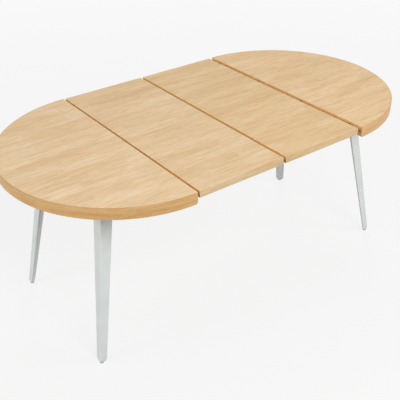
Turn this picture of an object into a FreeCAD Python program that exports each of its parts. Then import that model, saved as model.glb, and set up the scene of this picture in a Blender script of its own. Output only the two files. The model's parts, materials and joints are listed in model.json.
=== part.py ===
import FreeCAD, Part
import os
import re
import Sketcher

# Butterfly leaf table: two half-round ends on splayed legs, drawn apart, with two hinged
# half-leaves between them. Lengths are millimetres, +Z is up, +X runs along the table,
# the near side is -Y and the floor is z = 0. The rest pose is the open table.

doc = FreeCAD.newDocument("butterfly_leaf_table")
sheet = doc.addObject("Spreadsheet::Sheet", "dims")

DRIVING = [
    ("table_height", 750, "floor to table top"),
    ("top_radius", 500, "radius of each half-round end"),
    ("board_thickness", 28, "thickness of all four boards"),
    ("edge_height", 48, "visible edge of the ends"),
    ("band_thickness", 2, "edge band round each end"),
    ("ease_radius", 1, "eased edges of band and leaves"),
    ("rim_width", 40, "lipping under the curved edge"),
    ("seam_ease", 7, "slanted lower corner of the ends along the seam"),
    ("square_diagonal_share", 1.41421, "diagonal of a square over its side"),
    ("batten_width", 40, "batten under the straight edge"),
    ("leaf_width", 395, "one half-leaf, along the table"),
    ("leaf_length", 994, "one half-leaf, across the table"),
    ("gap_left", 10, "open seam at the left end"),
    ("gap_centre", 13, "open seam between the half-leaves"),
    ("gap_right", 21, "open seam at the right end"),
    ("dowel_radius", 5, "alignment dowel"),
    ("dowel_pitch", 288, "dowel spacing across the table"),
    ("dowel_seat", 24, "dowel length held in the end"),
    ("dowel_reach_left", 8, "dowel length showing at the left end"),
    ("dowel_reach_right", 12, "dowel length showing at the right end"),
    ("dowel_clearance", 0.25, "radial play of a dowel in its leaf hole"),
    ("dowel_hole_depth", 18, "leaf hole"),
    ("leg_top_x", 244, "outer ridge of the leg at its top, from the seam"),
    ("leg_top_y", 243, "the same, from the centre line"),
    ("leg_foot_x", 356, "outer ridge of the leg above its toe, from the seam"),
    ("leg_foot_y", 326, "the same, from the centre line"),
    ("leg_top_side", 56, "width of an outer leg face at the top"),
    ("leg_foot_side", 30, "width of an outer leg face at the foot"),
    ("leg_toe_height", 12, "drawn-in toe at the end of the leg"),
    ("leg_toe_share", 0.72, "face width at the end of the toe over that above it"),
    ("leg_blunt_share", 0.2, "blunt inner edge over the face width"),
    ("leg_centre_share", 0.34, "leg axis behind the ridge over the face width"),
    ("leg_edge_radius", 2.5, "rounded leg edges"),
    ("bend_share", 0.41421, "tangent length of a 45 degree bend over its radius"),
    ("slant_share", 0.29289, "the same along X or Y on the slanted side"),
    ("plate_size", 92, "leg plate, square"),
    ("plate_thickness", 5, "leg plate"),
    ("plate_screw_pitch", 72, "leg plate screws, square"),
    ("plate_screw_radius", 2.5, "leg plate screw shank"),
    ("plate_screw_head_radius", 5, "leg plate screw head"),
    ("plate_screw_head_height", 3, "leg plate screw head"),
    ("plate_screw_bite", 20, "leg plate screw in the board"),
    ("hanger_radius", 4, "hanger bolt of the leg"),
    ("hanger_length", 45, "hanger bolt in the leg"),
    ("glide_radius", 8, "floor glide"),
    ("glide_height", 5, "floor glide"),
    ("glide_spigot_radius", 3, "glide spigot"),
    ("glide_spigot_length", 16, "glide spigot in the leg"),
    ("rail_y", 240, "middle rail from the centre line"),
    ("rail_width", 22, "each slide rail"),
    ("rail_height", 44, "each slide rail"),
    ("rail_drop", 96, "table top to the top of the rails"),
    ("rail_gap", 0.3, "play between neighbouring rails"),
    ("rail_back", 160, "end rail behind the seam"),
    ("end_rail_length", 550, "rail fixed to an end"),
    ("middle_rail_length", 600, "middle rail"),
    ("tongue_depth", 7, "dovetail tongue"),
    ("tongue_root", 10, "dovetail tongue where it leaves the rail"),
    ("tongue_tip", 14, "dovetail tongue at its tip"),
    ("block_length", 40, "spacer block"),
    ("block_first", 44, "first spacer block behind the seam"),
    ("block_second", 116, "second spacer block behind the seam"),
    ("rest_setback", 80, "leaf rest in front of the seam"),
    ("rest_gap", 0.3, "play under a closed leaf"),
    ("rail_screw_radius", 3, "rail screw shank"),
    ("rail_screw_head_radius", 6, "rail screw head"),
    ("rail_screw_head_height", 4, "rail screw head"),
    ("rail_screw_sink", 10, "counterbore under a rail"),
    ("rail_screw_bite", 16, "rail screw in the board"),
    ("bearer_screw_bite", 32, "bearer screw in the bearer"),
    ("head_play", 0.5, "radial play of a head in its counterbore"),
    ("bearer_thickness", 30, "cross bearer"),
    ("bearer_length", 760, "cross bearer"),
    ("slide_gap", 0.2, "play under the sliding bearer"),
    ("guide_width", 8, "guide tongue of the sliding bearer"),
    ("guide_depth", 6, "guide tongue of the sliding bearer"),
    ("guide_play", 0.4, "play round the guide tongue"),
    ("guide_spare", 8, "groove beyond the travel at each end"),
    ("hinge_inset", 64, "hinge line from the inner leaf edge"),
    ("hinge_pitch", 300, "hinge spacing across the table"),
    ("hinge_length", 60, "one hinge"),
    ("hinge_moving_share", 0.4, "moving barrel over the hinge length"),
    ("barrel_radius", 3.5, "hinge barrel"),
    ("barrel_play", 0.4, "play round a hinge barrel"),
    ("barrel_end_play", 0.2, "play between barrels along the pin"),
    ("hinge_pin_radius", 1.5, "hinge pin"),
    ("hinge_pin_play", 0.05, "running play of the pin"),
    ("hinge_leaf_width", 30, "hinge flap"),
    ("hinge_leaf_thickness", 2, "hinge flap"),
    ("hinge_screw_radius", 1.75, "hinge screw shank"),
    ("hinge_screw_head_radius", 3.4, "countersunk hinge screw head"),
    ("hinge_screw_head_height", 1.6, "countersunk hinge screw head"),
    ("hinge_screw_length", 16, "hinge screw"),
    ("hinge_screw_pitch", 36, "screws along one hinge"),
    ("hinge_screw_inset", 19, "screws from the pin"),
    ("overrun", 2, "cutters beyond the faces they cut"),
]

DERIVED = [
    ("open_length", "2 * leaf_width + gap_left + gap_centre + gap_right"),
    ("right_seam", "open_length / 2"),
    ("left_seam", "-open_length / 2"),
    ("left_outer", "left_seam + gap_left"),
    ("left_inner", "left_outer + leaf_width"),
    ("right_inner", "left_inner + gap_centre"),
    ("right_outer", "right_inner + leaf_width"),
    ("left_pivot", "left_inner - hinge_inset"),
    ("right_pivot", "right_inner + hinge_inset"),
    ("under_z", "table_height - board_thickness"),
    ("edge_z", "table_height - edge_height"),
    ("rim_height", "edge_height - board_thickness"),
    ("board_radius", "top_radius - band_thickness"),
    ("rim_radius", "board_radius - rim_width"),
    ("dowel_z", "table_height - board_thickness / 2"),
    ("plate_z", "under_z - plate_thickness"),
    ("plate_x", "leg_top_x - leg_top_side / 2"),
    ("plate_y", "leg_top_y - leg_top_side / 2"),
    ("hanger_x", "leg_top_x - leg_top_side * leg_centre_share"),
    ("hanger_y", "leg_top_y - leg_top_side * leg_centre_share"),
    ("glide_x", "leg_foot_x - leg_foot_side * leg_centre_share"),
    ("glide_y", "leg_foot_y - leg_foot_side * leg_centre_share"),
    ("leg_toe_side", "leg_foot_side * leg_toe_share"),
    ("leg_toe_x", "glide_x + leg_toe_side * leg_centre_share"),
    ("leg_toe_y", "glide_y + leg_toe_side * leg_centre_share"),
    ("leg_foot_z", "glide_height + leg_toe_height"),
    ("rail_top", "table_height - rail_drop"),
    ("rail_base", "rail_top - rail_height"),
    ("rail_step", "rail_width + rail_gap"),
    ("tongue_z", "rail_base + rail_height / 2"),
    ("end_rail_top", "rail_top - slide_gap"),
    ("end_rail_height", "rail_height - slide_gap"),
    ("bearer_height", "under_z - rail_top - rest_gap"),
    ("block_height", "under_z - end_rail_top"),
    ("rest_height", "block_height - rest_gap"),
    ("bearer_offset", "barrel_radius + hinge_leaf_thickness / 2"),
    ("moving_length", "hinge_length * hinge_moving_share"),
    ("barrel_room", "barrel_radius + barrel_play"),
]

known = set()
row = 0
for alias, value, note in DRIVING:
    row = row + 1
    sheet.set("A%d" % row, note)
    sheet.set("B%d" % row, str(value))
    sheet.setAlias("B%d" % row, alias)
    known.add(alias)
for alias, formula in DERIVED:
    row = row + 1
    sheet.set("A%d" % row, "derived")
    sheet.set("B%d" % row, "=" + formula)
    sheet.setAlias("B%d" % row, alias)
    known.add(alias)
doc.recompute()


def term(text):
    """Point every name in a sum at its cell in the sheet."""
    def swap(match):
        word = match.group(0)
        return "dims." + word if word in known else word
    return re.sub(r"[a-z_]+", swap, text)


def bind(obj, prop, text):
    obj.setExpression(prop, term(text))


def place(obj, at):
    for axis, text in zip("xyz", at):
        bind(obj, "Placement.Base." + axis, text)


TURNS = {
    "+z": FreeCAD.Rotation(),
    "+x": FreeCAD.Rotation(FreeCAD.Vector(0, 1, 0), 90),
    "-x": FreeCAD.Rotation(FreeCAD.Vector(0, 1, 0), -90),
    "+y": FreeCAD.Rotation(FreeCAD.Vector(1, 0, 0), -90),
}


def box(name, size, at):
    obj = doc.addObject("Part::Box", name)
    for prop, text in zip(("Length", "Width", "Height"), size):
        bind(obj, prop, text)
    place(obj, at)
    return obj


def rod(name, radius, length, at, along="+z"):
    obj = doc.addObject("Part::Cylinder", name)
    bind(obj, "Radius", radius)
    bind(obj, "Height", length)
    obj.Placement = FreeCAD.Placement(FreeCAD.Vector(), TURNS[along])
    place(obj, at)
    return obj


def cone(name, wide, narrow, length, at, along):
    obj = doc.addObject("Part::Cone", name)
    bind(obj, "Radius1", wide)
    bind(obj, "Radius2", narrow)
    bind(obj, "Height", length)
    obj.Placement = FreeCAD.Placement(FreeCAD.Vector(), TURNS[along])
    place(obj, at)
    return obj


def fuse(name, shapes):
    obj = doc.addObject("Part::MultiFuse", name)
    obj.Shapes = shapes
    obj.Refine = True
    return obj


def group(name, shapes):
    obj = doc.addObject("Part::Compound", name)
    obj.Links = shapes
    return obj


def cut(name, base, tools):
    obj = doc.addObject("Part::Cut", name)
    obj.Base = base
    obj.Tool = tools[0] if len(tools) == 1 else group(name + "_tools", tools)
    return obj


def ease(name, base, wanted):
    """Round the edges of a finished shape that the test picks out."""
    doc.recompute()
    radius = float(sheet.get("ease_radius"))
    picked = []
    for number, edge in enumerate(base.Shape.Edges, 1):
        if wanted(edge):
            picked.append((number, radius, radius))
    obj = doc.addObject("Part::Fillet", name)
    obj.Base = base
    obj.Edges = picked
    return obj


def seam(side):
    return "right_seam" if side > 0 else "left_seam"


def beyond(side, start, length="0"):
    """Low x of a piece that starts a distance behind the seam of an end."""
    if side > 0:
        return "right_seam + " + start
    return "left_seam - (" + start + ") - (" + length + ")"


def pivot(side):
    return "right_pivot" if side > 0 else "left_pivot"


def from_pivot(side, start, length="0"):
    """Low x of a piece that starts a distance from the hinge line, towards the end."""
    if side > 0:
        return "right_pivot + " + start
    return "left_pivot - (" + start + ") - (" + length + ")"


def half_disc(name, side, radius, height, z):
    """A half-round blank whose flat side lies on the seam."""
    obj = doc.addObject("Part::Cylinder", name)
    bind(obj, "Radius", radius)
    bind(obj, "Height", height)
    obj.Angle = 180
    turn = -90 if side > 0 else 90
    obj.Placement = FreeCAD.Placement(
        FreeCAD.Vector(), FreeCAD.Rotation(FreeCAD.Vector(0, 0, 1), turn))
    place(obj, (seam(side), "0", z))
    return obj


def round_cutter(name, side, radius, height, z):
    """A full round about the middle of a seam, its own join line turned away from the end."""
    obj = rod(name, radius, height, (seam(side), "0", z))
    turn = 180 if side > 0 else 0
    obj.Placement = FreeCAD.Placement(
        FreeCAD.Vector(), FreeCAD.Rotation(FreeCAD.Vector(0, 0, 1), turn))
    place(obj, (seam(side), "0", z))
    return obj


def signed(sign, text):
    return text if sign > 0 else "-(" + text + ")"


SIDES = (("left", -1), ("right", 1))
HANDS = (("front", -1), ("back", 1))
HINGE_STEPS = (-1, 0, 1)
DOWEL_STEPS = (-1.5, -0.5, 0.5, 1.5)
nodes = []


def keep(obj):
    """Hand a finished sub-part in under its own name."""
    obj.Label = obj.Name
    nodes.append(obj)
    return obj


def outline(body, name, lines, centres, height):
    """A closed outline on a level plane of a body: straight lines, every end held by two
    distances, joined by arcs of the leg edge radius about the given centres."""
    sketch = body.newObject("Sketcher::SketchObject", name)
    plane = [f for f in body.Origin.OriginFeatures if f.Role == "XY_Plane"][0]
    sketch.AttachmentSupport = [(plane, "")]
    sketch.MapMode = "FlatFace"
    bind(sketch, "AttachmentOffset.Base.z", height)
    ends = []
    for line in lines:
        pair = [FreeCAD.Vector(sheet_value(a), sheet_value(b), 0) for a, b in line]
        ends.append(pair)
        sketch.addGeometry(Part.LineSegment(pair[0], pair[1]), False)
    count = len(lines)
    for i in range(count):
        first = ends[i][1]
        last = ends[(i + 1) % count][0]
        centre = FreeCAD.Vector(sheet_value(centres[i][0]), sheet_value(centres[i][1]), 0)
        outward = (first + last) * 0.5 - centre
        radius = (first - centre).Length
        bulge = centre + outward.normalize() * radius
        number = sketch.addGeometry(Part.Arc(first, bulge, last), False)
        begins = (sketch.getPoint(number, 1) - first).Length < (sketch.getPoint(number, 1) - last).Length
        near, far = (1, 2) if begins else (2, 1)
        sketch.addConstraint(Sketcher.Constraint("Coincident", i, 2, number, near))
        sketch.addConstraint(Sketcher.Constraint("Coincident", (i + 1) % count, 1, number, far))
        index = sketch.addConstraint(Sketcher.Constraint("Radius", number, radius))
        bind(sketch, "Constraints[%d]" % index, "leg_edge_radius")
    for i, line in enumerate(lines):
        for point, (x_text, y_text) in enumerate(line):
            spot = ends[i][point]
            for kind, text, value in (("DistanceX", x_text, spot.x), ("DistanceY", y_text, spot.y)):
                index = sketch.addConstraint(
                    Sketcher.Constraint(kind, -1, 1, i, point + 1, value))
                bind(sketch, "Constraints[%d]" % index, text)
    return sketch


def sheet_value(text):
    """Work out a sum of sheet names for the first guess of an outline."""
    probe = doc.addObject("Part::Vertex", "probe")
    bind(probe, "X", text)
    doc.recompute([probe])
    value = float(probe.X)
    doc.removeObject(probe.Name)
    return value


def leg_outline(side, hand, x, y, width):
    """Right-angled outline with its square corner outwards and its long side inwards."""
    blunt = width + " * leg_blunt_share"
    back_x = x + " - " + width
    back_y = y + " - " + width
    bend = "leg_edge_radius"
    turn = "leg_edge_radius * bend_share"
    slant = "leg_edge_radius * slant_share"
    lines = [
        ((x, y + " - " + bend), (x, back_y + " + " + bend)),
        ((x + " - " + bend, back_y), (x + " - " + blunt + " + " + turn, back_y)),
        ((x + " - " + blunt + " - " + slant, back_y + " + " + slant),
         (back_x + " + " + slant, y + " - " + blunt + " - " + slant)),
        ((back_x, y + " - " + blunt + " + " + turn), (back_x, y + " - " + bend)),
        ((back_x + " + " + bend, y), (x + " - " + bend, y)),
    ]
    centres = [
        (x + " - " + bend, back_y + " + " + bend),
        (x + " - " + blunt + " + " + turn, back_y + " + " + bend),
        (back_x + " + " + bend, y + " - " + blunt + " + " + turn),
        (back_x + " + " + bend, y + " - " + bend),
        (x + " - " + bend, y + " - " + bend),
    ]
    flip = lambda spot: (signed(side, spot[0]), signed(hand, spot[1]))
    return [(flip(a), flip(b)) for a, b in lines], [flip(spot) for spot in centres]


def leg(name, side, hand):
    """Three-sided leg, tapered and splayed: a loft from the toe over the foot to the top."""
    body = doc.addObject("PartDesign::Body", name + "_body")
    lines, centres = leg_outline(side, hand, "leg_toe_x", "leg_toe_y", "leg_toe_side")
    toe = outline(body, name + "_toe_outline", lines, centres, "glide_height")
    lines, centres = leg_outline(side, hand, "leg_foot_x", "leg_foot_y", "leg_foot_side")
    foot = outline(body, name + "_foot_outline", lines, centres, "leg_foot_z")
    lines, centres = leg_outline(side, hand, "leg_top_x", "leg_top_y", "leg_top_side")
    head = outline(body, name + "_top_outline", lines, centres, "plate_z")
    doc.recompute()
    loft = body.newObject("PartDesign::AdditiveLoft", name + "_loft")
    loft.Profile = toe
    loft.Sections = [foot, head]
    loft.Ruled = True
    doc.recompute()
    body.Tip = loft
    place(body, (seam(side), "0", "0"))
    return body


def dovetail(name, hand, play, length, x, y):
    """Dovetail bar along X that stands out of a rail face at y, towards the given hand."""
    obj = doc.addObject("Part::Wedge", name)
    root = "tongue_root / 2 + " + play
    tip = "tongue_tip / 2 + " + play
    depth = "tongue_depth + " + play
    near, far = (root, tip) if hand > 0 else (tip, root)
    values = {
        "Xmin": "0", "X2min": "0", "Xmax": length, "X2max": length,
        "Ymin": "0" if hand > 0 else "-(" + depth + ")",
        "Ymax": depth if hand > 0 else "0",
        "Zmin": "-(" + near + ")", "Zmax": near,
        "Z2min": "-(" + far + ")", "Z2max": far,
    }
    for prop in ("Xmax", "X2max", "Ymax", "Zmax", "Z2max", "Xmin", "X2min", "Ymin", "Zmin", "Z2min"):
        bind(obj, prop, values[prop])
    place(obj, (x, y, "tongue_z"))
    return obj


def headed_screw(name, x, y, z, shank, head_radius, head_height, length):
    """Upright screw with its head down; z is the seat of the head."""
    stem = rod(name + "_stem", shank, length, (x, y, z))
    head = rod(name + "_head", head_radius, head_height, (x, y, z + " - (" + head_height + ")"))
    return fuse(name, [stem, head])


def rail_screw(name, x, y, length):
    """Screw up through a rail, and the counterbore for its head."""
    screw = headed_screw(name, x, y, "rail_base + rail_screw_sink", "rail_screw_radius",
                         "rail_screw_head_radius", "rail_screw_head_height", length)
    sink = rod(name + "_sink", "rail_screw_head_radius + head_play", "rail_screw_sink + overrun",
               (x, y, "rail_base - overrun"))
    return screw, sink


def countersunk_screw(name, at, out):
    """Hinge screw whose head lies flush in the flap that it holds."""
    head = cone(name + "_head", "hinge_screw_head_radius", "hinge_screw_radius",
                "hinge_screw_head_height", at, out)
    stem = rod(name + "_stem", "hinge_screw_radius", "hinge_screw_length", at, out)
    return fuse(name, [head, stem])


def middle_rail(name, hand, cutters):
    """Rail that joins the two ends, with a dovetail tongue on both faces."""
    start = "-middle_rail_length / 2"
    low_y = signed(hand, "rail_y") + " - rail_width / 2"
    high_y = signed(hand, "rail_y") + " + rail_width / 2"
    bar = box(name + "_bar", ("middle_rail_length", "rail_width", "rail_height"),
              (start, low_y, "rail_base"))
    lower = dovetail(name + "_tongue_low", -1, "0", "middle_rail_length", start, low_y)
    upper = dovetail(name + "_tongue_high", 1, "0", "middle_rail_length", start, high_y)
    return cut(name, fuse(name + "_blank", [bar, lower, upper]), cutters)


def bearer_bar(name, side, lift):
    """Blank of a cross bearer, behind the hinge line of its half-leaf."""
    return box(name, ("bearer_thickness", "bearer_length", "bearer_height - " + lift),
               (from_pivot(side, "bearer_offset", "bearer_thickness"), "-bearer_length / 2",
                "rail_top + " + lift))


def guide(name, hand):
    """Tongue under the sliding bearer."""
    return box(name, ("bearer_thickness", "guide_width", "guide_depth + slide_gap"),
               (from_pivot(-1, "bearer_offset", "bearer_thickness"),
                signed(hand, "rail_y") + " - guide_width / 2", "rail_top - guide_depth"))


def guide_groove(name, hand):
    """Groove in a middle rail that the tongue of the sliding bearer runs in."""
    return box(name, ("bearer_thickness + gap_centre + 2 * guide_spare",
                      "guide_width + 2 * guide_play", "guide_depth + guide_play + overrun"),
               (from_pivot(-1, "bearer_offset + guide_spare", "bearer_thickness"),
                signed(hand, "rail_y") + " - guide_width / 2 - guide_play",
                "rail_top - guide_depth - guide_play"))


def hinge(tag, side, middle):
    """One hinge: an upright flap for the bearer, a level flap for the leaf, pin and screws.
    The pin lies in the underside plane of the leaf."""
    def about_pin(name, radius, length, start):
        return rod(tag + name, radius, length, (pivot(side), start, "under_z"), "+y")

    low = middle + " - hinge_length / 2"
    through = "hinge_length + 2 * overrun"
    knuckle_low = middle + " - moving_length / 2"
    shoulder = "hinge_length / 2 - moving_length / 2 + barrel_end_play + overrun"

    bearer_side = []
    leaf_side = []
    for end_name, end in (("low", -1), ("high", 1)):
        y = middle + " + hinge_screw_pitch / 2 * %d" % end
        spot = "%s_screw_%s" % (tag, end_name)
        bearer_side.append(countersunk_screw(
            spot + "_fixed", (from_pivot(side, "bearer_offset - hinge_leaf_thickness"), y,
                              "under_z - hinge_screw_inset"), "+x" if side > 0 else "-x"))
        leaf_side.append(countersunk_screw(
            spot + "_moving", (from_pivot(side, "-hinge_screw_inset"), y,
                               "under_z - hinge_leaf_thickness"), "+z"))

    upright = box(tag + "_upright", ("hinge_leaf_thickness", "hinge_length", "hinge_leaf_width"),
                  (from_pivot(side, "bearer_offset - hinge_leaf_thickness", "hinge_leaf_thickness"),
                   low, "under_z - hinge_leaf_width"))
    barrel = about_pin("_barrel", "barrel_radius", "hinge_length", low)
    room = about_pin("_room", "barrel_room", "moving_length", knuckle_low)
    bore = about_pin("_bore", "hinge_pin_radius", through, low + " - overrun")
    fixed_blank = fuse(tag + "_fixed_blank", [upright, barrel])

    level = box(tag + "_level", ("hinge_leaf_width", "hinge_length", "hinge_leaf_thickness"),
                (from_pivot(side, "-hinge_leaf_width", "hinge_leaf_width"),
                 low, "under_z - hinge_leaf_thickness"))
    side_rooms = [
        about_pin("_room_low", "barrel_room", shoulder, low + " - overrun"),
        about_pin("_room_high", "barrel_room", shoulder,
                  middle + " + moving_length / 2 - barrel_end_play"),
    ]
    knuckle = about_pin("_knuckle", "barrel_radius", "moving_length - 2 * barrel_end_play",
                        knuckle_low + " + barrel_end_play")
    loose_bore = about_pin("_loose_bore", "hinge_pin_radius + hinge_pin_play", through,
                           low + " - overrun")
    moving_blank = fuse(tag + "_moving_blank", [cut(tag + "_level_cut", level, side_rooms), knuckle])

    return {
        "fixed": cut(tag + "_fixed", fixed_blank, [room, bore] + bearer_side),
        "moving": cut(tag + "_moving", moving_blank, [loose_bore] + leaf_side),
        "pin": about_pin("_pin", "hinge_pin_radius", "hinge_length", low),
        "relief": about_pin("_relief", "barrel_room", "hinge_length + 2 * barrel_play",
                            low + " - barrel_play"),
        "bearer_screws": bearer_side,
        "leaf_screws": leaf_side,
    }


def half_leaf(name, side, cutters):
    """Plain board with eased top edges and dowel holes in its outer edge."""
    low_x = "right_inner" if side > 0 else "left_outer"
    blank = box(name + "_blank", ("leaf_width", "leaf_length", "board_thickness"),
                (low_x, "-leaf_length / 2", "under_z"))
    eased = ease(name + "_eased", blank,
                 lambda edge: edge.BoundBox.ZMin > float(sheet.get("dowel_z")))
    hole_x = "right_outer - dowel_hole_depth" if side > 0 else "left_outer - overrun"
    holes = []
    for number, step in enumerate(DOWEL_STEPS, 1):
        holes.append(rod("%s_hole_%d" % (name, number), "dowel_radius + dowel_clearance",
                         "dowel_hole_depth + overrun",
                         (hole_x, "dowel_pitch * %s" % step, "dowel_z"), "+x"))
    return cut(name, eased, holes + cutters)


def alignment_dowels(tag, side):
    """Dowels that stand out of the straight edge of an end."""
    reach = "dowel_reach_right" if side > 0 else "dowel_reach_left"
    length = "dowel_seat + " + reach
    dowels = []
    for number, step in enumerate(DOWEL_STEPS, 1):
        dowels.append(rod(tag + "dowel_%d" % number, "dowel_radius", length,
                          (beyond(side, "-" + reach, length), "dowel_pitch * %s" % step, "dowel_z"),
                          "+x"))
    return keep(group(tag + "dowels", dowels))


def plate_screws(leg_tag, centre_x, centre_y):
    """The four screws of one leg plate."""
    screws = []
    for step_x in (-1, 1):
        for step_y in (-1, 1):
            screws.append(headed_screw(
                "%s_screw_%d%d" % (leg_tag, step_x + 1, step_y + 1),
                centre_x + " + plate_screw_pitch / 2 * %d" % step_x,
                centre_y + " + plate_screw_pitch / 2 * %d" % step_y, "plate_z",
                "plate_screw_radius", "plate_screw_head_radius", "plate_screw_head_height",
                "plate_thickness + plate_screw_bite"))
    return screws


def leg_set(tag, side):
    """The two legs of an end, each with plate, hanger bolt and glide. Gives the plate screws."""
    screws = []
    plates = []
    bolts = []
    for hand_name, hand in HANDS:
        leg_tag = tag + "leg_" + hand_name
        centre_x = beyond(side, "plate_x")
        centre_y = signed(hand, "plate_y")
        corner_screws = plate_screws(leg_tag, centre_x, centre_y)
        screws = screws + corner_screws
        bolt = rod(leg_tag + "_hanger", "hanger_radius", "hanger_length + plate_thickness",
                   (beyond(side, "hanger_x"), signed(hand, "hanger_y"), "plate_z - hanger_length"))
        bolts.append(bolt)
        blank = box(leg_tag + "_plate_blank", ("plate_size", "plate_size", "plate_thickness"),
                    (centre_x + " - plate_size / 2", centre_y + " - plate_size / 2", "plate_z"))
        plates.append(cut(leg_tag + "_plate", blank, [bolt] + corner_screws))
        glide_at = (beyond(side, "glide_x"), signed(hand, "glide_y"), "0")
        pad = rod(leg_tag + "_pad", "glide_radius", "glide_height", glide_at)
        spigot = rod(leg_tag + "_spigot", "glide_spigot_radius",
                     "glide_height + glide_spigot_length", glide_at)
        glide = keep(fuse(tag + "glide_" + hand_name, [pad, spigot]))
        keep(cut(leg_tag, leg(leg_tag, side, hand), [bolt, glide]))
    keep(group(tag + "leg_plates", plates))
    keep(group(tag + "leg_bolts", bolts))
    return keep(group(tag + "leg_screws", screws))


def slide_rails(tag, side):
    """The two rails of an end, screwed up to its top through spacer blocks, with the rests
    that carry the outer edge of a half-leaf. Gives the rail screws."""
    screws = []
    blocks = []
    rests = []
    start = beyond(side, "rail_back - end_rail_length", "end_rail_length")
    for hand_name, hand in HANDS:
        toward = side * hand
        centre_y = signed(hand, "rail_y + " + signed(side, "rail_step"))
        low_y = centre_y + " - rail_width / 2"
        cutters = []
        for place_name, setback in (("inner", "block_first"), ("outer", "block_second")):
            spot = tag + hand_name + "_" + place_name
            screw, sink = rail_screw(
                spot + "_rail_screw", beyond(side, setback + " + block_length / 2"), centre_y,
                "end_rail_height - rail_screw_sink + block_height + rail_screw_bite")
            screws.append(screw)
            cutters = cutters + [sink, screw]
            block = box(spot + "_block_blank", ("block_length", "rail_width", "block_height"),
                        (beyond(side, setback, "block_length"), low_y, "end_rail_top"))
            blocks.append(cut(spot + "_block", block, [screw]))
        rests.append(box(tag + hand_name + "_rest", ("block_length", "rail_width", "rest_height"),
                         (beyond(side, "-rest_setback - block_length", "block_length"),
                          low_y, "end_rail_top")))
        bar = box(tag + hand_name + "_rail_bar", ("end_rail_length", "rail_width", "end_rail_height"),
                  (start, low_y, "rail_base"))
        face_y = signed(hand, "rail_y") + " + " + signed(toward, "rail_width / 2")
        slot = dovetail(tag + hand_name + "_rail_slot", toward, "rail_gap",
                        "end_rail_length + 2 * overrun", start + " - overrun", face_y)
        keep(cut(tag + "rail_" + hand_name, bar, [slot] + cutters))
    keep(group(tag + "rail_blocks", blocks))
    keep(group(tag + "leaf_rests", rests))
    return keep(group(tag + "rail_screws", screws))


def seam_bevel(name, side):
    """Cutter for the slanted lower corner of an end along its seam."""
    side_length = "seam_ease * square_diagonal_share"
    bevel = box(name, (side_length, "2 * top_radius + 2 * overrun", side_length), ("0", "0", "0"))
    bevel.Placement = FreeCAD.Placement(
        FreeCAD.Vector(), FreeCAD.Rotation(FreeCAD.Vector(0, 1, 0), -45))
    place(bevel, (seam(side), "-top_radius - overrun", "edge_z - seam_ease"))
    return bevel


def half_round_top(tag, side, seats):
    """Half-round board with lipping and batten under its edges, and the band round them."""
    disc = half_disc(tag + "top_blank", side, "board_radius", "board_thickness", "under_z")
    keep(cut(tag + "top", disc, seats))

    bevel = seam_bevel(tag + "seam_bevel", side)
    rim_outer = half_disc(tag + "rim_outer", side, "board_radius", "rim_height", "edge_z")
    rim_inner = round_cutter(tag + "rim_inner", side, "rim_radius", "rim_height + 2 * overrun",
                             "edge_z - overrun")
    keep(cut(tag + "rim", rim_outer, [rim_inner, bevel]))

    batten = doc.addObject("Part::Common", tag + "batten_blank")
    batten.Base = box(tag + "batten_bar", ("batten_width", "2 * top_radius", "rim_height"),
                      (beyond(side, "0", "batten_width"), "-top_radius", "edge_z"))
    batten.Tool = round_cutter(tag + "batten_limit", side, "rim_radius", "rim_height", "edge_z")
    keep(cut(tag + "batten", batten, [bevel]))

    band_outer = half_disc(tag + "band_outer", side, "top_radius", "edge_height", "edge_z")
    band_inner = round_cutter(tag + "band_inner", side, "board_radius",
                              "edge_height + 2 * overrun", "edge_z - overrun")
    band = cut(tag + "band_blank", band_outer, [band_inner])
    eased = ease(tag + "band_eased", band, lambda edge: edge.Curve.TypeId == "Part::GeomCircle"
                 and edge.Curve.Radius > float(sheet.get("board_radius"))
                 + float(sheet.get("band_thickness")) / 2)
    keep(cut(tag + "edge_band", eased, [bevel]))


# Middle rails and the screws that hold the right bearer on them.
screws = []
for hand_name, hand in HANDS:
    screw, sink = rail_screw("bearer_screw_" + hand_name,
                             from_pivot(1, "bearer_offset + bearer_thickness / 2"),
                             signed(hand, "rail_y"),
                             "rail_height - rail_screw_sink + bearer_screw_bite")
    screws.append(screw)
    keep(middle_rail("middle_rail_" + hand_name, hand,
                     [guide_groove("guide_groove_" + hand_name, hand), sink, screw]))
bearer_screws = keep(group("bearer_screws", screws))

# Hinges, three to each half-leaf, and what they join: the half-leaves and the cross bearers.
for side_name, side in SIDES:
    tag = side_name + "_"
    hinges = []
    bearer_side = []
    leaf_side = []
    for step in HINGE_STEPS:
        made = hinge("%shinge_%d" % (tag, step + 2), side, "hinge_pitch * %d" % step)
        hinges.append(made)
        bearer_side = bearer_side + made["bearer_screws"]
        leaf_side = leaf_side + made["leaf_screws"]
    keep(group(tag + "hinge_fixed", [made["fixed"] for made in hinges]))
    keep(group(tag + "hinge_moving", [made["moving"] for made in hinges]))
    keep(group(tag + "hinge_pins", [made["pin"] for made in hinges]))
    bearer_hinge_screws = keep(group(tag + "bearer_hinge_screws", bearer_side))
    leaf_hinge_screws = keep(group(tag + "leaf_hinge_screws", leaf_side))
    reliefs = [made["relief"] for made in hinges]
    keep(half_leaf(tag + "leaf", side, reliefs + [leaf_hinge_screws]))
    if side > 0:
        bar = bearer_bar(tag + "bearer_bar", side, "0")
        keep(cut(tag + "bearer", bar, [bearer_hinge_screws, bearer_screws]))
    else:
        parts = [bearer_bar(tag + "bearer_bar", side, "slide_gap")]
        for hand_name, hand in HANDS:
            parts.append(guide("guide_" + hand_name, hand))
        keep(cut(tag + "bearer", fuse(tag + "bearer_guided", parts), [bearer_hinge_screws]))

# The two ends.
for side_name, side in SIDES:
    tag = side_name + "_"
    dowels = alignment_dowels(tag, side)
    leg_screws = leg_set(tag, side)
    rail_screws = slide_rails(tag, side)
    half_round_top(tag, side, [dowels, leg_screws, rail_screws])

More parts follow.
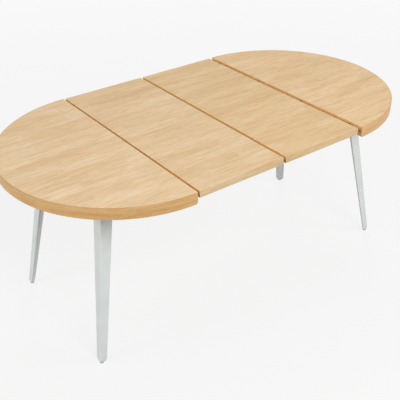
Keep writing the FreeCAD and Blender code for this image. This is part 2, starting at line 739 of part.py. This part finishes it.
doc.recompute()
for obj in doc.Objects:
    if "Invalid" in obj.State or "Error" in obj.State:
        raise RuntimeError("not built: " + obj.Name + " " + str(obj.State))
os.makedirs("parts", exist_ok=True)
for obj in nodes:
    if obj.Shape.isNull() or not obj.Shape.isValid() or not obj.Shape.Solids:
        raise RuntimeError("bad shape: " + obj.Label)
    obj.Shape.exportStep("parts/" + obj.Label + ".step")
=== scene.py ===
import json

import bpy
from mathutils import Matrix, Vector


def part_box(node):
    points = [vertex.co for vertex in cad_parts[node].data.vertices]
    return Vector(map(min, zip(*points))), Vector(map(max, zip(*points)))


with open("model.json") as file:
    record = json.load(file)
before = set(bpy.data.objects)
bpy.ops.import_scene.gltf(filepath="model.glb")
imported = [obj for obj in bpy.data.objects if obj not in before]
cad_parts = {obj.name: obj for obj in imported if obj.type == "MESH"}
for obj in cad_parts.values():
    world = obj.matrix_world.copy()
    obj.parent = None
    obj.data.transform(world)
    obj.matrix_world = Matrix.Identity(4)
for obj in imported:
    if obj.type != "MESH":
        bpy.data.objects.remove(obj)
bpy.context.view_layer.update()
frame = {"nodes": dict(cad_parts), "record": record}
nodes = frame["nodes"]
TOP_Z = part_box("left_top")[1][2]

# Screen values to linear ones.
SRGB_STEPS = 255
SRGB_KNEE, SRGB_SLOPE = 0.04045, 12.92
SRGB_LIFT, SRGB_POWER = 0.055, 2.4


def linear(red, green, blue):
    """A colour given in 0 to 255 screen values, as linear values."""
    out = []
    for value in (red, green, blue):
        part = value / SRGB_STEPS
        if part <= SRGB_KNEE:
            out.append(part / SRGB_SLOPE)
        else:
            out.append(((part + SRGB_LIFT) / (1 + SRGB_LIFT)) ** SRGB_POWER)
    return (*out, 1.0)


def tinted(colour, tint):
    """A colour with its red, green and blue each times a share."""
    return (*(part * share for part, share in zip(colour, tint)), 1.0)


# Camera, fitted to the photograph: place in metres and directions, in the frame of the table.
CAMERA_OVER_TOP = 1.268
CAMERA_PLACE = Vector((-1.646, -2.164, TOP_Z + CAMERA_OVER_TOP))
CAMERA_LOOKS = Vector((0.50521, 0.67953, -0.53198))
CAMERA_UP = Vector((0.3237, 0.42221, 0.84673))
SENSOR_MM = 36.0
PHOTO_PIXELS = 400
FOCAL_PIXELS = 699.6

# Stage: an even sky, and a pale floor that shows the background's colour. A share of its look is
# lit, so that it keeps the shadow. The share goes to none between two distances from the middle.
SKY_STRENGTH = 0.40
BACKGROUND = (0.945, 0.945, 0.945, 1.0)
FLOOR_COLOUR = (0.90, 0.90, 0.90, 1.0)
FLOOR_BOUNCE = (0.40, 0.40, 0.40, 1.0)
FLOOR_SHADOW_SHARE = 0.16
SHADOW_FULL_TO, SHADOW_GONE_FROM = 1.6, 4.5
FLOOR_SIZE = 60.0

# Soft boxes, all aimed at the middle of the table: name, place, width, height, power in watts, and
# whether reflections show them. The left ones stand low. Seen along the top, their reflection
# would wash it out.
LIGHT_AIM = Vector((0.0, 0.0, 0.45))
SOFT_BOXES = (
    ("left_low", Vector((-6.5, 0.6, 1.0)), 3.0, 2.0, 72.0, False),
    ("left_high", Vector((-6.0, 0.8, 3.3)), 1.6, 1.6, 78.0, False),
    ("right_front", Vector((4.3, -4.3, 4.4)), 2.5, 2.5, 112.0, True),
    ("front_high", Vector((-0.6, -4.0, 3.4)), 2.0, 2.0, 110.0, True),
    ("back_high", Vector((2.8, 4.0, 5.2)), 2.4, 1.0, 90.0, True),
)

# All materials. The first four are the sockets of Blender's Mix node that carry colours.
MIX_SHARE, MIX_FIRST, MIX_SECOND, MIX_RESULT = 0, 6, 7, 2
NONE = (0.0, 0.0, 0.0, 1.0)
FULL = (1.0, 1.0, 1.0, 1.0)
NOISE_LOW, NOISE_HIGH = 0.25, 0.75
NOISE_DETAIL, NOISE_ROUGHNESS = 3.0, 0.55
FACES_X_FROM, FACES_X_FULL = 0.6, 0.8
FACES_UP_FROM, FACES_UP_FULL = 0.3, 0.6

# Wood. Stretch of the broad figure, then of flecks and fibres: a small share draws them out.
ALONG_X = ((0.22, 1.0, 1.0), (0.06, 1.0, 1.0))
ALONG_Y = ((1.0, 0.22, 1.0), (1.0, 0.06, 1.0))
ALONG_RIM = ((0.25, 0.25, 3.0), (0.10, 0.10, 1.2))
BROAD = {"scale": 15.0, "detail": 4.0, "distortion": 0.3}
FLECK = {"scale": 130.0, "roughness": 0.6}
FIBRE = {"scale": 420.0, "roughness": 0.6}
BROAD_DARK_AT, BROAD_MID_AT, BROAD_PALE_AT = 0.30, 0.50, 0.70
FLECK_FROM, FLECK_TO, FLECK_SHADE = 0.38, 0.56, (0.92, 0.86, 0.77, 1.0)
FIBRE_FROM, FIBRE_TO, FIBRE_SHADE = 0.36, 0.54, (0.90, 0.84, 0.76, 1.0)
WOOD_ROUGH_LOW, WOOD_ROUGH_HIGH = 0.40, 0.52
FIBRE_RELIEF, FIBRE_DEPTH = 0.12, 0.0003
MATT, SATIN = 0.10, 0.5
# Glued strips in the boards.
STAVE_LENGTH, STAVE_WIDTH, STAVE_OFFSET_SHARE = 0.36, 0.048, 0.37
STAVE_SHIFT = 9.0
STAVE_SHADE = (0.955, 0.935, 0.90, 1.0)
# The boards' faces in the seams go from a pale head to a browner foot: painted light at the head,
# and painted shade toward the foot.
BAND_LIT_HEAD_DEPTH, BAND_SHADED_FOOT_DEPTH = 0.008, 0.024
BAND_LIT_HEAD, BAND_SHADED_FOOT = linear(250, 210, 144), linear(196, 140, 82)
# Pale, middle and dark tone of each wood.
OAK = (linear(237, 210, 174), linear(231, 202, 161), linear(225, 192, 149))
OAK_EDGE = (linear(231, 192, 138), linear(223, 181, 124), linear(213, 168, 110))
# Browner tone on the edges' upward faces: painted shade.
OAK_EDGE_TOP_SHADE = linear(196, 148, 94)
BEECH = (linear(226, 190, 150), linear(214, 175, 132), linear(196, 154, 112))
# Each board has a tint: a tone of its own, and on the left end a paler, bluer tint that is also
# painted sheen. The edge of the left end is darker than that of the right end, which is painted
# shade, and the battens under the seams are browner, which is painted shade of the gaps.
BOARD_TONES_AND_SHEEN = {
    "left_top": (1.01, 1.045, 1.11),
    "left_leaf": (0.965, 0.98, 1.0),
    "right_leaf": (0.95, 0.94, 0.90),
    "right_top": (1.0, 1.0, 1.0),
}
LEFT_EDGE_SHADE_TINT = (0.94, 0.92, 0.87)
BATTEN_SHADE_TINT = (0.82, 0.62, 0.54)

# Lacquer, powder coat and plastic have a faint mottle, and a fine peel that may be drawn out.
# Zinc plating has blotches of tone, and fine brushing.
EVEN = (1.0, 1.0, 1.0)
BRUSHED_Z = (1.0, 1.0, 0.1)
BRUSHED_Y = (1.0, 0.05, 1.0)
PATCH_FROM, PATCH_TO = 0.35, 0.65
MOTTLE, MOTTLE_TINT = {"scale": 9.0}, (0.94, 0.94, 0.94)
PEEL = {"scale": 420.0, "detail": 2.0}
PEEL_RELIEF, PEEL_DEPTH = 0.06, 0.0002
BLOTCH, BLOTCH_TINT = {"scale": 60.0}, (0.86, 0.86, 0.86)
BRUSHING = {"scale": 900.0, "detail": 2.0}
BRUSHING_RELIEF, BRUSHING_DEPTH = 0.08, 0.0001
# By slot: name, colour, least and most roughness, and stretch of the peel or the brushing.
LACQUERS = {
    "white_lacquer": ("white_lacquer", linear(226, 230, 228), 0.32, 0.44, BRUSHED_Z),
    "plate_steel": ("white_powder_coat", linear(228, 229, 228), 0.45, 0.60, EVEN),
    "grey_plastic": ("grey_plastic", linear(176, 177, 175), 0.50, 0.65, EVEN),
    "dark_plastic": ("dark_plastic", linear(62, 48, 40), 0.45, 0.60, EVEN),
}
PLATINGS = {
    "hinge_steel": ("hinge_zinc", linear(206, 204, 198), 0.25, 0.42, BRUSHED_Y),
    "screw_steel": ("screw_zinc", linear(196, 196, 194), 0.22, 0.40, EVEN),
}


class Shader:
    """One material under construction: short calls for the nodes that all of them use."""

    def __init__(self, name):
        self.material = bpy.data.materials.new(name)
        self.material.use_nodes = True
        self.tree = self.material.node_tree
        self.shader = self.tree.nodes["Principled BSDF"]
        where = self.tree.nodes.new("ShaderNodeTexCoord")
        self.place = where.outputs["Object"]
        self.normal = where.outputs["Normal"]

    def link(self, source, target):
        self.tree.links.new(source, target)

    def stretched(self, scale):
        """The place on the object, with each axis times a share."""
        made = self.tree.nodes.new("ShaderNodeMapping")
        made.inputs["Scale"].default_value = scale
        self.link(self.place, made.inputs["Vector"])
        return made.outputs["Vector"]

    def noise(self, where, scale, detail=NOISE_DETAIL, roughness=NOISE_ROUGHNESS,
              distortion=0.0, shift=None):
        """Noise over a place. Each value of `shift` has a pattern of its own."""
        made = self.tree.nodes.new("ShaderNodeTexNoise")
        made.inputs["Scale"].default_value = scale
        made.inputs["Detail"].default_value = detail
        made.inputs["Roughness"].default_value = roughness
        made.inputs["Distortion"].default_value = distortion
        self.link(where, made.inputs["Vector"])
        if shift:
            made.noise_dimensions = "4D"
            self.link(shift, made.inputs["W"])
        return made.outputs["Fac"]

    def ramp(self, source, *stops):
        """Colours over a value, from stops of place and colour."""
        made = self.tree.nodes.new("ShaderNodeValToRGB")
        points = made.color_ramp.elements
        while len(points) < len(stops):
            points.new(1.0)
        for point, (where, colour) in zip(points, stops):
            point.position = where
            point.color = colour
        self.link(source, made.inputs["Fac"])
        return made.outputs["Color"]

    def span(self, source, low, high, to_low=0.0, to_high=1.0):
        """A value from `low` to `high`, moved to another span and kept in it."""
        made = self.tree.nodes.new("ShaderNodeMapRange")
        for socket, value in (("From Min", low), ("From Max", high),
                              ("To Min", to_low), ("To Max", to_high)):
            made.inputs[socket].default_value = value
        self.link(source, made.inputs["Value"])
        return made.outputs["Result"]

    def mix(self, share, first, second, blend="MIX"):
        """Two colours, each a socket or a constant, with the share of the second."""
        made = self.tree.nodes.new("ShaderNodeMix")
        made.data_type = "RGBA"
        made.blend_type = blend
        for place, value in ((MIX_SHARE, share), (MIX_FIRST, first), (MIX_SECOND, second)):
            socket = made.inputs[place]
            if hasattr(value, "is_output"):
                self.link(value, socket)
            else:
                socket.default_value = value
        return made.outputs[MIX_RESULT]

    def times(self, first, second):
        return self.mix(1.0, first, second, "MULTIPLY")

    def staves(self):
        """A random value from 0 to 1 for each glued strip, laid along X like bricks."""
        made = self.tree.nodes.new("ShaderNodeTexBrick")
        made.offset = STAVE_OFFSET_SHARE
        made.inputs["Color1"].default_value = NONE
        made.inputs["Color2"].default_value = FULL
        made.inputs["Scale"].default_value = 1.0
        made.inputs["Mortar Size"].default_value = 0.0
        made.inputs["Brick Width"].default_value = STAVE_LENGTH
        made.inputs["Row Height"].default_value = STAVE_WIDTH
        self.link(self.place, made.inputs["Vector"])
        return made.outputs["Color"]

    def part_of(self, vector, axis):
        made = self.tree.nodes.new("ShaderNodeSeparateXYZ")
        self.link(vector, made.inputs["Vector"])
        return made.outputs[axis]

    def facing_x(self):
        """1 on faces that look along X, 0 on the others."""
        made = self.tree.nodes.new("ShaderNodeMath")
        made.operation = "ABSOLUTE"
        self.link(self.part_of(self.normal, "X"), made.inputs[0])
        return self.span(made.outputs["Value"], FACES_X_FROM, FACES_X_FULL)

    def facing_up(self):
        """1 on faces that look up, 0 on the others."""
        return self.span(self.part_of(self.normal, "Z"), FACES_UP_FROM, FACES_UP_FULL)

    def bump(self, height, strength, distance):
        made = self.tree.nodes.new("ShaderNodeBump")
        made.inputs["Strength"].default_value = strength
        made.inputs["Distance"].default_value = distance
        self.link(height, made.inputs["Height"])
        self.link(made.outputs["Normal"], self.shader.inputs["Normal"])

    def colour(self, source):
        self.link(source, self.shader.inputs["Base Color"])

    def rough(self, source, low, high):
        """Roughness from `low` to `high`, over a noise."""
        self.link(self.span(source, NOISE_LOW, NOISE_HIGH, low, high),
                  self.shader.inputs["Roughness"])


def wood(name, tones, along, glued=False, top_shade=None, shine=MATT):
    """Plain-sawn wood: broad figure, short flecks and fine fibres. A glued board has staves, each
    with a tone and a pattern of its own, and on its faces along X painted light at the head and
    painted shade toward the foot. A top shade, painted on the upward faces, darkens them."""
    made = Shader(name)
    stave = made.staves() if glued else None
    shift = made.span(stave, 0.0, 1.0, 0.0, STAVE_SHIFT) if glued else None
    broad_stretch, fine_stretch = along
    broad = made.noise(made.stretched(broad_stretch), **BROAD)
    fleck = made.noise(made.stretched(fine_stretch), **FLECK, shift=shift)
    fibre = made.noise(made.stretched(fine_stretch), **FIBRE, shift=shift)
    pale, mid, dark = tones
    figure = made.ramp(broad, (BROAD_DARK_AT, dark), (BROAD_MID_AT, mid), (BROAD_PALE_AT, pale))
    if glued:
        figure = made.times(figure, made.ramp(stave, (0.0, STAVE_SHADE), (1.0, FULL)))
        # Painted light at the head and painted shade toward the foot of the faces along X.
        height = made.span(made.part_of(made.place, "Z"),
                           TOP_Z - BAND_SHADED_FOOT_DEPTH, TOP_Z - BAND_LIT_HEAD_DEPTH)
        band_shade = made.ramp(height, (0.0, BAND_SHADED_FOOT), (1.0, BAND_LIT_HEAD))
        figure = made.mix(made.facing_x(), figure, band_shade)
    # Painted shade on the upward faces.
    if top_shade:
        figure = made.mix(made.facing_up(), figure, top_shade)
    flecks = made.ramp(fleck, (FLECK_FROM, FLECK_SHADE), (FLECK_TO, FULL))
    fibres = made.ramp(fibre, (FIBRE_FROM, FIBRE_SHADE), (FIBRE_TO, FULL))
    made.colour(made.times(made.times(figure, flecks), fibres))
    made.rough(fleck, WOOD_ROUGH_LOW, WOOD_ROUGH_HIGH)
    made.shader.inputs["Specular IOR Level"].default_value = shine
    made.bump(fibre, FIBRE_RELIEF, FIBRE_DEPTH)
    return made.material


def patched(made, noise, colour, tint):
    """Give a material its colour, with patches that are a little darker."""
    patches = made.noise(made.place, **noise)
    made.colour(made.ramp(patches, (PATCH_FROM, tinted(colour, tint)), (PATCH_TO, colour)))


def lacquer(name, colour, low, high, stretch):
    """A painted or moulded surface, with its least and most roughness."""
    made = Shader(name)
    patched(made, MOTTLE, colour, MOTTLE_TINT)
    peel = made.noise(made.stretched(stretch), **PEEL)
    made.rough(peel, low, high)
    made.bump(peel, PEEL_RELIEF, PEEL_DEPTH)
    return made.material


def plated(name, colour, low, high, stretch):
    """A plated metal surface, with its least and most roughness."""
    made = Shader(name)
    patched(made, BLOTCH, colour, BLOTCH_TINT)
    brushing = made.noise(made.stretched(stretch), **BRUSHING)
    made.shader.inputs["Metallic"].default_value = 1.0
    made.rough(brushing, low, high)
    made.bump(brushing, BRUSHING_RELIEF, BRUSHING_DEPTH)
    return made.material


def oak_edge(name, tint=EVEN):
    """The oak of an end's edge, with painted shade that makes its upward faces browner."""
    tones = [tinted(tone, tint) for tone in OAK_EDGE]
    return wood(name, tones, ALONG_RIM, top_shade=OAK_EDGE_TOP_SHADE, shine=SATIN)


# Materials by slot, and by node where a node differs from its slot.
by_slot = {"oak_edge": oak_edge("oak_edge"), "beech": wood("beech", BEECH, ALONG_X)}
by_slot.update({slot: lacquer(*look) for slot, look in LACQUERS.items()})
by_slot.update({slot: plated(*look) for slot, look in PLATINGS.items()})
beech_across = wood("beech_across", BEECH, ALONG_Y)
# The left end's edge in a darker tint: painted shade.
shaded_left_edge = oak_edge("oak_edge_left_shaded", LEFT_EDGE_SHADE_TINT)
# Battens in a browner tint: painted shade of the seams' gaps.
shaded_batten = wood("oak_batten_shaded", [tinted(tone, BATTEN_SHADE_TINT) for tone in OAK_EDGE], ALONG_Y)
by_node = {
    "left_bearer": beech_across, "right_bearer": beech_across,
    "left_edge_band": shaded_left_edge, "left_rim": shaded_left_edge,
    "left_batten": shaded_batten, "right_batten": shaded_batten,
}
# Each board's tint. On the left end it is partly painted sheen.
for name, tint in BOARD_TONES_AND_SHEEN.items():
    by_node[name] = wood("oak_" + name, [tinted(tone, tint) for tone in OAK], ALONG_X, glued=True)

for part in frame["record"]["subparts"]:
    name = part["node"]
    material = by_node[name] if name in by_node else by_slot[part["material_slot"]]
    if not nodes[name].material_slots:
        nodes[name].data.materials.append(material)
    for entry in nodes[name].material_slots:
        entry.material = material


def node(tree, kind, **inputs):
    """A new shader node, with constants on its sockets."""
    made = tree.nodes.new("ShaderNode" + kind)
    for socket, value in inputs.items():
        made.inputs[socket].default_value = value
    return made


def looked_at(tree):
    """1 for what the camera, a reflection or a see-through surface shows, 0 for plain light."""
    rays = node(tree, "LightPath")
    share = rays.outputs["Is Camera Ray"]
    for kind in ("Is Glossy Ray", "Is Transmission Ray"):
        larger = node(tree, "Math")
        larger.operation = "MAXIMUM"
        tree.links.new(share, larger.inputs[0])
        tree.links.new(rays.outputs[kind], larger.inputs[1])
        share = larger.outputs["Value"]
    return share


def blended(tree, share, first, second):
    """Two surfaces or backgrounds, with the share of the second."""
    made = node(tree, "MixShader")
    tree.links.new(share, made.inputs["Fac"])
    tree.links.new(first.outputs[0], made.inputs[1])
    tree.links.new(second.outputs[0], made.inputs[2])
    return made


bpy.ops.mesh.primitive_plane_add(size=FLOOR_SIZE, location=(0, 0, 0))
floor = bpy.context.object
floor.name = "floor"
floor_material = bpy.data.materials.new("floor_pale")
floor_material.use_nodes = True
tree = floor_material.node_tree
tree.nodes.clear()
from_middle = node(tree, "VectorMath")
from_middle.operation = "LENGTH"
tree.links.new(node(tree, "TexCoord").outputs["Object"], from_middle.inputs[0])
fade = node(tree, "MapRange", **{"From Min": SHADOW_FULL_TO, "From Max": SHADOW_GONE_FROM,
                                 "To Min": FLOOR_SHADOW_SHARE, "To Max": 0.0})
tree.links.new(from_middle.outputs["Value"], fade.inputs["Value"])
glow = node(tree, "Emission", Color=BACKGROUND)
lit = node(tree, "BsdfDiffuse", Color=FLOOR_COLOUR)
shown = blended(tree, fade.outputs["Result"], glow, lit)
bounce = node(tree, "BsdfDiffuse", Color=FLOOR_BOUNCE)
surface = blended(tree, looked_at(tree), bounce, shown)
tree.links.new(surface.outputs[0], node(tree, "OutputMaterial").inputs["Surface"])
floor.data.materials.append(floor_material)

world = bpy.data.worlds.new("studio")
bpy.context.scene.world = world
world.use_nodes = True
tree = world.node_tree
tree.nodes.clear()
sky = node(tree, "Background", Color=FULL, Strength=SKY_STRENGTH)
shown = node(tree, "Background", Color=BACKGROUND)
surface = blended(tree, looked_at(tree), sky, shown)
tree.links.new(surface.outputs[0], node(tree, "OutputWorld").inputs["Surface"])

for name, place, width, height, power, reflected in SOFT_BOXES:
    lamp = bpy.data.objects.new(name, bpy.data.lights.new(name, "AREA"))
    lamp.data.shape = "RECTANGLE"
    lamp.data.size = width
    lamp.data.size_y = height
    lamp.data.energy = power
    lamp.location = place
    lamp.rotation_euler = (LIGHT_AIM - place).to_track_quat("-Z", "Y").to_euler()
    lamp.visible_camera = False
    lamp.visible_glossy = reflected
    bpy.context.collection.objects.link(lamp)

camera = bpy.data.objects.new("camera", bpy.data.cameras.new("camera"))
camera.data.sensor_width = SENSOR_MM
camera.data.lens = SENSOR_MM * FOCAL_PIXELS / PHOTO_PIXELS
right = CAMERA_LOOKS.cross(CAMERA_UP).normalized()
up = right.cross(CAMERA_LOOKS).normalized()
turn = Matrix((right, up, -CAMERA_LOOKS.normalized())).transposed()
camera.matrix_world = Matrix.Translation(CAMERA_PLACE) @ turn.to_4x4()
bpy.context.collection.objects.link(camera)
bpy.context.scene.camera = camera
bpy.context.scene.view_settings.view_transform = "Standard"
